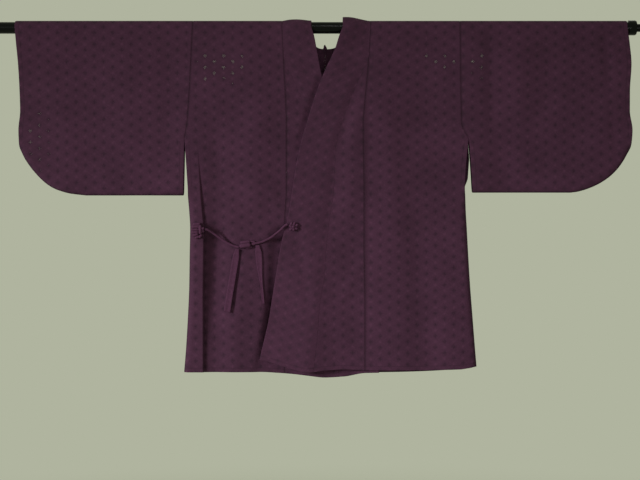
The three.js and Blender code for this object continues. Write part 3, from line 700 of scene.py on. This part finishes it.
def neck_tuck(t, angle):
    """Small folds along the collar where it turns round the back of the neck."""
    middle = smooth_step(0.5, 1.2, angle)
    return middle * (1.1 * math.sin(9 * t + 0.6) - 0.8 * math.exp(-((t - 0.86) / 0.06) ** 2)) * t


def collar_run(side, drop):
    """The way down the slanting collar from the rod, along its free edge."""
    lean = abs(along(FRONT_EDGES, "free_" + side, drop) - along(FRONT_EDGES, "free_" + side, 0))
    return math.hypot(drop, lean)


def collar(side, material):
    neck = [("neck", math.radians(a)) for a in range(3, 91, 3)]
    rows = front_to_back(drop_rows(BODY_LENGTH, "front"), neck)
    across = [0, 0.008, 0.018, 0.035, *[k / 22 for k in range(1, 22)], 0.965, 0.98, 0.99, 0.996, 1]
    hang_sheet("collar", side, rows, across, collar_spot, BAND, material)


# ---- Ties ----

TIE_RADIUS = 2.5
RIBBON_HALF_WIDTH = 7
RIBBON_HALF_THICKNESS = 0.9
RIBBON_START = 4.5

# The ties' routes: each leaves its ornament, meets the knot, and hangs down from it.
SIDE_STRAND = [
    (-254.9, -21.7, -431.9), (-250.6, -20.9, -432.8), (-244, -18.2, -436.6), (-236, -15.4, -442.2),
    (-222, -13.4, -452.4), (-207, -13.1, -461.8), (-193, -13.1, -467.8), (-183.6, -13.6, -470.4)]
FRONT_STRAND = [
    (-79.4, -20.8, -421.9), (-85.2, -19.8, -424.2), (-94.4, -17.4, -433.2), (-105, -14.9, -442),
    (-116, -13.4, -450), (-128, -13.1, -456.4), (-139, -13, -460.4), (-150.6, -13.6, -462.6)]
SIDE_TAIL = [
    (-187, -12.6, -474.2), (-190, -11.6, -490), (-195, -11.8, -520), (-200, -12.2, -550),
    (-205, -12.8, -580), (-209.5, -13.2, -609)]
FRONT_TAIL = [
    (-144, -12.2, -466), (-142, -11.1, -482), (-140, -10.3, -510), (-137, -9.5, -540),
    (-134, -8.9, -568), (-132, -8.6, -592)]


def smooth_route(points, steps):
    """A smooth line through points, with that many steps between each two."""
    ends = [points[0] * 2 - points[1], *points, points[-1] * 2 - points[-2]]
    line = []
    for a, b, c, d in zip(ends, ends[1:], ends[2:], ends[3:]):
        for k in range(steps):
            t = k / steps
            curve = (b * 2 + (c - a) * t + (a * 2 - b * 5 + c * 4 - d) * t ** 2
                     + (b * 3 - a - c * 3 + d) * t ** 3)
            line.append(curve / 2)
    return line + [points[-1]]


def run_lengths(line):
    """The way along a line up to each of its points."""
    lengths = [0.0]
    for a, b in zip(line, line[1:]):
        lengths.append(lengths[-1] + (b - a).length)
    return lengths


def swept(name, line, section, sides, material):
    """A closed roll of cloth along a line: section(t, angle) gives its reach across and forward."""
    bm = bmesh.new()
    steps = len(line) - 1
    bmesh.ops.create_grid(bm, x_segments=sides, y_segments=steps, size=0.5)
    lengths = run_lengths(line)
    cut_layer = bm.loops.layers.uv.new("cut")
    places = {}
    for vert in bm.verts:
        k = round((vert.co.y + 0.5) * steps)
        angle = 2 * math.pi * (vert.co.x + 0.5)
        tangent = (line[min(k + 1, steps)] - line[max(k - 1, 0)]).normalized()
        forward = Vector((0, -1, 0))
        forward = (forward - tangent * forward.dot(tangent)).normalized()
        across = tangent.cross(forward)
        reach_across, reach_forward = section(lengths[k] / lengths[-1], angle)
        places[vert] = (angle * TIE_RADIUS * MM, lengths[k] * MM)
        vert.co = (line[k] + across * reach_across + forward * reach_forward) * MM
    for face in bm.faces:
        face.smooth = True
        for loop in face.loops:
            loop[cut_layer].uv = places[loop.vert]
    bmesh.ops.remove_doubles(bm, verts=bm.verts, dist=1e-5)
    bmesh.ops.holes_fill(bm, edges=[edge for edge in bm.edges if edge.is_boundary], sides=0)
    bmesh.ops.recalc_face_normals(bm, faces=bm.faces)
    return finished(name, bm, material)


def rolled(radius, crumple, seed):
    """The section of a rolled tube of cloth, a little uneven."""
    def section(t, angle):
        uneven = 1 + crumple * noise.noise(Vector((t * 14 + seed, math.cos(angle), math.sin(angle))))
        return radius * uneven * math.cos(angle), radius * uneven * math.sin(angle)
    return section


def ribbon(end_half_width):
    """The section of a flat tail: it opens from the knot to its full width, with a soft crease along it."""
    def section(t, angle):
        half = mix(RIBBON_HALF_WIDTH, end_half_width, smooth_step(0.2, 0.75, t))
        half = mix(RIBBON_START, half, smooth_step(0, 0.14, t))
        thick = mix(2.0, RIBBON_HALF_THICKNESS, smooth_step(0, 0.2, t))
        flat = math.copysign(abs(math.cos(angle)) ** 0.6, math.cos(angle))
        crease = 0.9 * math.exp(-((flat - 0.25 + 0.5 * t) / 0.28) ** 2) - 0.5 * flat * flat
        return half * flat, thick * math.sin(angle) - crease
    return section


def tie_cord(key, points, section, material):
    line = smooth_route([Vector(point) for point in points], 8)
    piece = stands_for(swept("cloth_" + key, line, section, 20, material), ["tie_" + key])


# ---- Knot, ornaments and loop ----

# The knotted pieces are short rolls of cloth laid over each other. Where the middle of each piece is:
PIECE_MIDDLES = {
    "ornament_side": (-270.5, -436), "ornament_front": (-67.5, -426), "tie_knot": (-167.4, -465.6)}

ROLL_FLATNESS = 0.85

# Their rolls, from the piece's middle: x and z of both ends, radius, how far it stands off the cloth.
ROLLS = {
    "ornament_side": [
        (-10.5, 14.5, 5.5, 15.5, 2.9, 0.4), (-13.5, 9.2, 4.5, 9.6, 3.4, 1.6), (-14.5, 3, 1.5, 3.2, 2.9, 1.2),
        (-14, -2.6, 1, -2, 2.8, 1.8), (4.6, 13, 5, -7, 3.6, 2.0), (-11.5, -9.6, 1, -6.4, 3.2, 0.8),
        (-6.5, -14.6, 3, -11.4, 2.8, 0.4), (2, -14.4, 8.4, -7.6, 3.0, 1.4), (6.4, 4.4, 14, 6.4, 3.4, 0.8),
        (6.4, -1.4, 13, 0.4, 3.0, 0.6)],
    "ornament_front": [
        (-6, 0.4, -2.4, 9.6, 3.0, 1.0), (0.2, 0, 3.6, 9.4, 3.0, 1.6), (4, -1.6, 9.6, 5.2, 3.0, 0.8),
        (-9.6, 3.1, -2, -1.6, 2.9, 1.2), (-8, -8.4, -1.6, -2.2, 3.1, 0.8), (0.4, -9.8, 0.8, -2, 3.1, 1.2),
        (9, -6.6, 3, -1.6, 3.0, 0.8), (-2.2, -1.6, 3.2, 0.8, 3.1, 3.4)],
    "tie_knot": [
        (-13.5, 4.6, 8, 7.2, 3.5, 1.0), (-15.5, -2.8, 9.5, 0, 4.8, 1.6), (5, 8.8, 18.5, 5.6, 2.5, 0.2),
        (9, 0.8, 19, 2.6, 2.7, 0.4), (-3, -6.6, 12, -4.6, 2.4, 0)]}


def round_ended(radius, length, seed):
    """The section of a short roll with round ends, a little flattened."""
    body = rolled(radius, 0.18, seed)

    def section(t, angle):
        near = clamp(min(t, 1 - t) * length / radius)
        size = math.sqrt(1 - (1 - near) ** 2)
        across, forward = body(t, angle)
        return across * size, forward * size * ROLL_FLATNESS
    return section


def knotted(node, material):
    """A knotted piece: rolls of cloth that lie on the front and on each other."""
    x, z = PIECE_MIDDLES[node]
    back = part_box(node)[1].y / MM
    parts = []
    for k, (x0, z0, x1, z1, radius, rise) in enumerate(ROLLS[node]):
        line = []
        for step in range(21):
            t = (1 - math.cos(math.pi * step / 20)) / 2
            bow = 0.5 + 0.5 * math.sin(math.pi * t)
            y = back - ROLL_FLATNESS * radius - rise * bow
            line.append(Vector((x + mix(x0, x1, t), y, z + mix(z0, z1, t))))
        section = round_ended(radius, math.hypot(x1 - x0, z1 - z0), 3.7 * k)
        parts.append(swept(f"roll_{k}", line, section, 20, material))
    return stands_for(joined(f"cloth_{node}", parts), [node])


def joined(name, pieces):
    """Joins finished pieces into one."""
    bm = bmesh.new()
    material = pieces[0].data.materials[0]
    for piece in pieces:
        bm.from_mesh(piece.data)
        bpy.data.objects.remove(piece)
    return finished(name, bm, material)


LOOP = {"leg": 12, "rise": 9, "half_width": 6.4, "half_thickness": 1.3}


def loop_section(t, angle):
    """The loop is pressed flat, and narrows to its top."""
    half = mix(LOOP["half_width"], 1.2, clamp((t - 0.35) / 0.65))
    return half * math.cos(angle), LOOP["half_thickness"] * math.sin(angle)


def hanging_loop(material):
    low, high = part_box("hanging_loop")
    y = (low.y + high.y) / 2 / MM
    bottom, top = -NECK_FREE_DROP - LOOP["leg"], -NECK_FREE_DROP + LOOP["rise"]
    line = [Vector((0.4 * math.sin(k), y, mix(bottom, top, k / 12))) for k in range(13)]
    piece = swept("cloth_hanging_loop", line, loop_section, 16, material)
    stands_for(piece, ["hanging_loop"])


# ---- Rod ----

def hanging_rod(material):
    """The tube, its coupler past the left sleeve, and the thinner inner tube, spun from one profile."""
    start, end = ROD_ENDS
    radius, thin = ROD_RADIUS, THIN_ROD_RADIUS
    wide, bevel = COUPLER["radius"], COUPLER["bevel"]
    profile = [
        (0, start), (radius - 1.5, start), (radius - 0.5, start + 0.4), (radius, start + 1.5),
        (radius, 300), (radius, COUPLER["start"]), (wide - 1, COUPLER["start"]),
        (wide, COUPLER["start"] + 1), (wide, COUPLER["end"] - bevel),
        (wide - 0.3 * bevel, COUPLER["end"] - 0.3 * bevel), (wide - bevel, COUPLER["end"]),
        (thin, COUPLER["end"]), (thin, end - 1.5), (thin - 0.5, end - 0.4), (thin - 1.5, end), (0, end)]
    bm = bmesh.new()
    verts = [bm.verts.new(Vector((x, 0, r)) * MM) for r, x in profile]
    edges = [bm.edges.new(pair) for pair in zip(verts, verts[1:])]
    bmesh.ops.spin(
        bm, geom=verts + edges, cent=(0, 0, 0), axis=(1, 0, 0), dvec=(0, 0, 0),
        angle=2 * math.pi, steps=96, use_merge=True)
    bmesh.ops.remove_doubles(bm, verts=bm.verts, dist=1e-6)
    bmesh.ops.recalc_face_normals(bm, faces=bm.faces)
    for face in bm.faces:
        face.smooth = True
    for edge in bm.edges:
        if edge.calc_face_angle(0) > math.radians(35):
            edge.smooth = False
    nodes = ["rod", "rod_coupler", "rod_inner"]
    stands_for(finished("rod_tube", bm, material), nodes)


# ---- Materials ----

def linear(colour):
    """A hex colour as the linear values that a shader takes."""
    channels = [int(colour[k:k + 2], 16) / 255 for k in (1, 3, 5)]
    return [c / 12.92 if c <= 0.04045 else ((c + 0.055) / 1.055) ** 2.4 for c in channels] + [1]


def add(tree, kind, inputs=None, **settings):
    """Adds a node with its settings, fills or links its inputs, and returns its outputs."""
    made = tree.nodes.new("ShaderNode" + kind)
    for name, value in settings.items():
        setattr(made, name, value)
    for key, value in (inputs or {}).items():
        if isinstance(value, bpy.types.NodeSocket):
            tree.links.new(value, made.inputs[key])
        else:
            made.inputs[key].default_value = value
    return made.outputs


def new_material(name):
    """A material whose tree holds only its output, and that tree."""
    material = bpy.data.materials.new(name)
    material.use_nodes = True
    tree = material.node_tree
    tree.nodes.clear()
    return material, tree


LATTICE = {"width": 39.4, "height": 24.6, "dot": 9.5, "mark": 7.0, "line": 0.09, "hole_pitch": 3.2}
# The open dots' colour of the lattice pattern, darkened as painted shade of the hollow seen through their
# holes.
CREPE_DOT_SHADE = "#2c1826"
CREPE_BODY = "#331b2b"
CREPE_LIGHT = "#3a2031"
CREPE_SHEEN = "#a87a96"


def lattice_ways(tree, uv, shift):
    """The place in a cell of the lattice along its two diagonals, from -0.5 to 0.5 about a lattice point."""
    scale = (1 / (LATTICE["width"] * MM), 1 / (LATTICE["height"] * MM), 0)
    scaled = add(tree, "VectorMath", {0: uv, 1: scale}, operation="MULTIPLY")[0]
    parts = add(tree, "SeparateXYZ", {0: scaled})
    ways = []
    for sign in ("ADD", "SUBTRACT"):
        way = add(tree, "Math", {0: parts[0], 1: parts[1]}, operation=sign)[0]
        way = add(tree, "Math", {0: way, 1: 0.5 + shift, 2: shift - 0.5}, operation="WRAP")[0]
        ways.append(add(tree, "Math", {0: way, 1: shift}, operation="SUBTRACT")[0])
    return ways


def lattice_offsets(tree, ways):
    """The distances across and along from the nearest lattice point, in millimetres."""
    across = add(tree, "Math", {0: ways[0], 1: ways[1]}, operation="ADD")[0]
    down = add(tree, "Math", {0: ways[0], 1: ways[1]}, operation="SUBTRACT")[0]
    return [
        add(tree, "Math", {0: way, 1: LATTICE[size] / 2}, operation="MULTIPLY")[0]
        for way, size in ((across, "width"), (down, "height"))]


def lozenge(tree, offsets, start, reach):
    """A soft diamond spot about a lattice point, 1 at its middle."""
    sides = [add(tree, "Math", {0: offset}, operation="ABSOLUTE")[0] for offset in offsets]
    away = add(tree, "Math", {0: sides[0], 1: sides[1]}, operation="ADD")[0]
    return add(tree, "MapRange", {
        "Value": away, "From Min": start, "From Max": reach, "To Min": 1.0, "To Max": 0.0},
        interpolation_type="SMOOTHSTEP")[0]


def trellis(tree, ways):
    """Fine paler threads along the cell's edges, between the lattice points."""
    lines = []
    for way in ways:
        off = add(tree, "Math", {0: way}, operation="ABSOLUTE")[0]
        lines.append(add(tree, "MapRange", {
            "Value": off, "From Min": 0.5 - LATTICE["line"], "From Max": 0.5},
            interpolation_type="SMOOTHSTEP")[0])
    return add(tree, "Math", {0: lines[0], 1: lines[1]}, operation="MAXIMUM")[0]


def openwork_crepe(name, see_through):
    """Silk crepe woven with a diamond lattice of small open dots: matt, dark aubergine.

    The eye gets soft dark lozenges in diagonal rows, paler knots of thread between them, a faint trellis.
    The lozenges' dark is painted shade of the hollow seen through the open dots.
    """
    material, tree = new_material(name)
    uv = add(tree, "UVMap", uv_map="cut")["UV"]
    ways = lattice_ways(tree, uv, 0.0)
    offsets = lattice_offsets(tree, ways)
    dot = lozenge(tree, offsets, 1.0, LATTICE["dot"])
    mark = lozenge(tree, lattice_offsets(tree, lattice_ways(tree, uv, 0.5)), 0.5, LATTICE["mark"])
    threads = add(tree, "Math", {0: trellis(tree, ways), 1: 0.3}, operation="MULTIPLY")[0]
    pale = add(tree, "Math", {0: mark, 1: threads}, operation="MAXIMUM")[0]
    base = add(tree, "Mix", {
        "Factor": pale, 6: linear(CREPE_BODY), 7: linear(CREPE_LIGHT)}, data_type="RGBA")[2]
    # The dots are painted darker, as the shade seen through their holes.
    colour = add(tree, "Mix", {"Factor": dot, 6: base, 7: linear(CREPE_DOT_SHADE)}, data_type="RGBA")[2]
    slub = add(tree, "TexNoise", {
        "Vector": uv, "Scale": 230.0, "Detail": 3.0, "Roughness": 0.65}, noise_dimensions="2D")["Fac"]
    cloudy = add(tree, "TexNoise", {
        "Vector": uv, "Scale": 14.0, "Detail": 2.0}, noise_dimensions="2D")["Fac"]
    uneven = add(tree, "Math", {0: slub, 1: cloudy}, operation="ADD")[0]
    tone_and_seam_shade = add(tree, "MapRange", {
        "Value": uneven, "From Min": 0.7, "From Max": 1.3, "To Min": 0.86, "To Max": 1.14})[0]
    # The cloth's uneven tone, darkened by painted shade along its seams.
    tone_and_seam_shade = add(tree, "Math", {0: tone_and_seam_shade, 1: painted_seam_shade_and_hem_line(tree)}, operation="MULTIPLY")[0]
    colour = add(tree, "VectorMath", {0: colour, 1: tone_and_seam_shade}, operation="MULTIPLY")[0]
    relief = add(tree, "Math", {0: slub, 1: dot}, operation="SUBTRACT")[0]
    relief = add(tree, "Math", {0: pale, 1: 0.6, 2: relief}, operation="MULTIPLY_ADD")[0]
    bump = add(tree, "Bump", {"Strength": 0.35, "Distance": 0.0006, "Height": relief})[0]
    surface = {
        "Base Color": colour, "Roughness": 0.9, "Specular IOR Level": 0.12, "IOR": 1.5,
        "Sheen Weight": 0.05, "Sheen Roughness": 0.5, "Sheen Tint": linear(CREPE_SHEEN), "Normal": bump}
    if see_through:
        surface["Alpha"] = open_holes(tree, offsets)
    shader = add(tree, "BsdfPrincipled", surface)[0]
    add(tree, "OutputMaterial", {"Surface": shader})
    return material


def painted_seam_shade_and_hem_line(tree):
    """How much darker the cloth is painted in its seams, as shade in the seam's groove, and along the line
    that a turned hem is sewn by.
    """
    seam = add(tree, "Attribute", attribute_name="seam")["Fac"]
    hem = add(tree, "Attribute", attribute_name="hem")["Fac"]
    # Painted seam shade: darker towards a seam, standing in for the shade in the seam's groove.
    painted_seam_shade = add(tree, "MapRange", {
        "Value": seam, "From Min": 0.2, "From Max": 4.2, "To Min": 0.66},
        interpolation_type="SMOOTHSTEP")[0]
    from_line = add(tree, "Math", {0: hem, 1: HEM_TURN}, operation="SUBTRACT")[0]
    from_line = add(tree, "Math", {0: from_line}, operation="ABSOLUTE")[0]
    on_line = add(tree, "MapRange", {
        "Value": from_line, "From Min": 0.3, "From Max": 1.5, "To Min": 0.8},
        interpolation_type="SMOOTHSTEP")[0]
    return add(tree, "Math", {0: painted_seam_shade, 1: on_line}, operation="MULTIPLY")[0]


def open_holes(tree, offsets):
    """The holes of each open dot, largest at its centre."""
    turn = 2 * math.pi / LATTICE["hole_pitch"]
    waves = []
    for way in offsets:
        angle = add(tree, "Math", {0: way, 1: turn}, operation="MULTIPLY")[0]
        waves.append(add(tree, "Math", {0: angle}, operation="COSINE")[0])
    peaks = add(tree, "Math", {0: waves[0], 1: waves[1]}, operation="MULTIPLY")[0]
    limit = add(tree, "MapRange", {
        "Value": lozenge(tree, offsets, 0.0, 7.0), "To Min": 1.0, "To Max": 0.6})[0]
    hole = add(tree, "Math", {0: peaks, 1: limit}, operation="GREATER_THAN")[0]
    is_open = add(tree, "Attribute", attribute_name="open")["Fac"]
    is_open = add(tree, "Math", {0: is_open, 1: 0.5}, operation="GREATER_THAN")[0]
    open_hole = add(tree, "Math", {0: hole, 1: is_open}, operation="MULTIPLY")[0]
    return add(tree, "Math", {0: 1.0, 1: open_hole}, operation="SUBTRACT")[0]


def rolled_crepe():
    """Ties and knots of the coat's own crepe, cut on the bias and rolled: matt, finely creased along, with
    painted shade that darkens the creases' hollows.
    """
    material, tree = new_material("rolled silk crepe")
    uv = add(tree, "UVMap", uv_map="cut")["UV"]
    stretched = add(tree, "VectorMath", {0: uv, 1: (700.0, 160.0, 0.0)}, operation="MULTIPLY")[0]
    crease_relief_and_shade = add(tree, "TexNoise", {"Vector": stretched, "Scale": 1.0, "Detail": 3.0},
                  noise_dimensions="2D")["Fac"]
    # The colour follows the creases' height: painted shade, darker in their hollows.
    colour = add(tree, "Mix", {
        "Factor": crease_relief_and_shade, 6: linear("#301829"), 7: linear("#44253a")}, data_type="RGBA")[2]
    bump = add(tree, "Bump", {"Strength": 0.4, "Distance": 0.0005, "Height": crease_relief_and_shade})[0]
    shader = add(tree, "BsdfPrincipled", {
        "Base Color": colour, "Roughness": 0.85, "Specular IOR Level": 0.12, "Sheen Weight": 0.03,
        "Sheen Roughness": 0.5, "Sheen Tint": linear(CREPE_SHEEN), "Normal": bump})[0]
    add(tree, "OutputMaterial", {"Surface": shader})
    return material


def rod_enamel():
    """Gloss black enamel on steel tube: a narrow bright line of light along the top, faint dust."""
    material, tree = new_material("gloss black enamel")
    place = add(tree, "TexCoord")["Object"]
    dust = add(tree, "TexNoise", {"Vector": place, "Scale": 60.0, "Detail": 4.0})["Fac"]
    colour = add(tree, "Mix", {
        "Factor": dust, 6: linear("#020303"), 7: linear("#060707")}, data_type="RGBA")[2]
    rough = add(tree, "MapRange", {"Value": dust, "To Min": 0.1, "To Max": 0.2})[0]
    shader = add(tree, "BsdfPrincipled", {
        "Base Color": colour, "Roughness": rough, "Specular IOR Level": 0.12, "IOR": 1.5})[0]
    add(tree, "OutputMaterial", {"Surface": shader})
    return material


def studio_card():
    """Matt painted board for the floor: pale, with no shine, and faded out before its rim."""
    material, tree = new_material("matt pale board")
    place = add(tree, "TexCoord")["Object"]
    reach = add(tree, "VectorMath", {0: place}, operation="LENGTH")["Value"]
    kept = add(tree, "MapRange", {
        "Value": reach, "From Min": FLOOR_RADIUS * 0.35, "From Max": FLOOR_RADIUS, "To Min": 1.0,
        "To Max": 0.0}, interpolation_type="SMOOTHSTEP")[0]
    shader = add(tree, "BsdfPrincipled", {
        "Base Color": linear("#b9bdab"), "Roughness": 0.95, "Specular IOR Level": 0.1, "Alpha": kept})[0]
    add(tree, "OutputMaterial", {"Surface": shader})
    return material


# ---- Camera, light and floor ----

FLOOR_HEIGHT = -1.35
FLOOR_RADIUS = 3.0


def camera():
    data = bpy.data.cameras.new("camera")
    data.sensor_width = SENSOR_WIDTH
    data.lens = SENSOR_WIDTH * VIEW_DISTANCE / VIEW_WIDTH
    made = placed("camera", data)
    made.location = VIEW_CENTRE + Vector((0, -VIEW_DISTANCE, 0))
    made.rotation_euler = (math.radians(90), 0, 0)
    bpy.context.scene.camera = made


def soft_light(name, place, aim, size, power, spread=180, height=None):
    """A soft box with a grid that keeps its light within an angle: square, or a strip of that height."""
    data = bpy.data.lights.new(name, "AREA")
    data.shape = "RECTANGLE"
    data.size = size
    data.size_y = height or size
    data.energy = power
    data.spread = math.radians(spread)
    made = placed(name, data)
    made.location = place
    made.rotation_euler = (Vector(aim) - made.location).to_track_quat("-Z", "Y").to_euler()


def studio():
    world = bpy.data.worlds.new("pale room")
    world.use_nodes = True
    background = world.node_tree.nodes["Background"]
    background.inputs["Color"].default_value = linear("#b0b49f")
    background.inputs["Strength"].default_value = 1.0
    bpy.context.scene.world = world
    bpy.context.scene.view_settings.view_transform = "Standard"
    soft_light("key", (-3.3, -2.2, 0.1), (0.5, 0, -1.1), 0.9, 20, 47)
    soft_light("fill", (0.9, -3.2, -1.0), (0.28, 0, -0.64), 1.2, 0.9, 26)
    soft_light("strip", (0.0, -2.7, 1.65), (0, 0, 0.1), 1.2, 0.9, 50, 0.02)
    soft_light("rim", (0.8, 1.6, 1.5), (0, 0, -0.2), 1.0, 3)
    bm = bmesh.new()
    bmesh.ops.create_circle(bm, cap_ends=True, segments=96, radius=FLOOR_RADIUS)
    bmesh.ops.translate(bm, verts=bm.verts, vec=(0, 0, FLOOR_HEIGHT))
    finished("floor", bm, studio_card())


# ---- The whole coat ----

camera()
studio()

tie_material = rolled_crepe()
knot = knotted("tie_knot", tie_material)
tie_cord("strand_side", SIDE_STRAND, rolled(TIE_RADIUS, 0.15, 1), tie_material)
tie_cord("strand_front", FRONT_STRAND, rolled(TIE_RADIUS, 0.15, 2), tie_material)
tie_cord("tail_side", SIDE_TAIL, ribbon(RIBBON_HALF_WIDTH), tie_material)
tie_cord("tail_front", FRONT_TAIL, ribbon(2.6), tie_material)
knotted("ornament_side", tie_material)
knotted("ornament_front", tie_material)
hanging_loop(tie_material)

coat_material = openwork_crepe("openwork silk crepe", see_through=True)
band_material = openwork_crepe("doubled openwork silk crepe", see_through=False)
for coat_side in ("right", "left"):
    body_length(coat_side, coat_material)
    sleeve(coat_side, coat_material)
    okumi(coat_side, coat_material)
    collar(coat_side, band_material)
hanging_rod(rod_enamel())
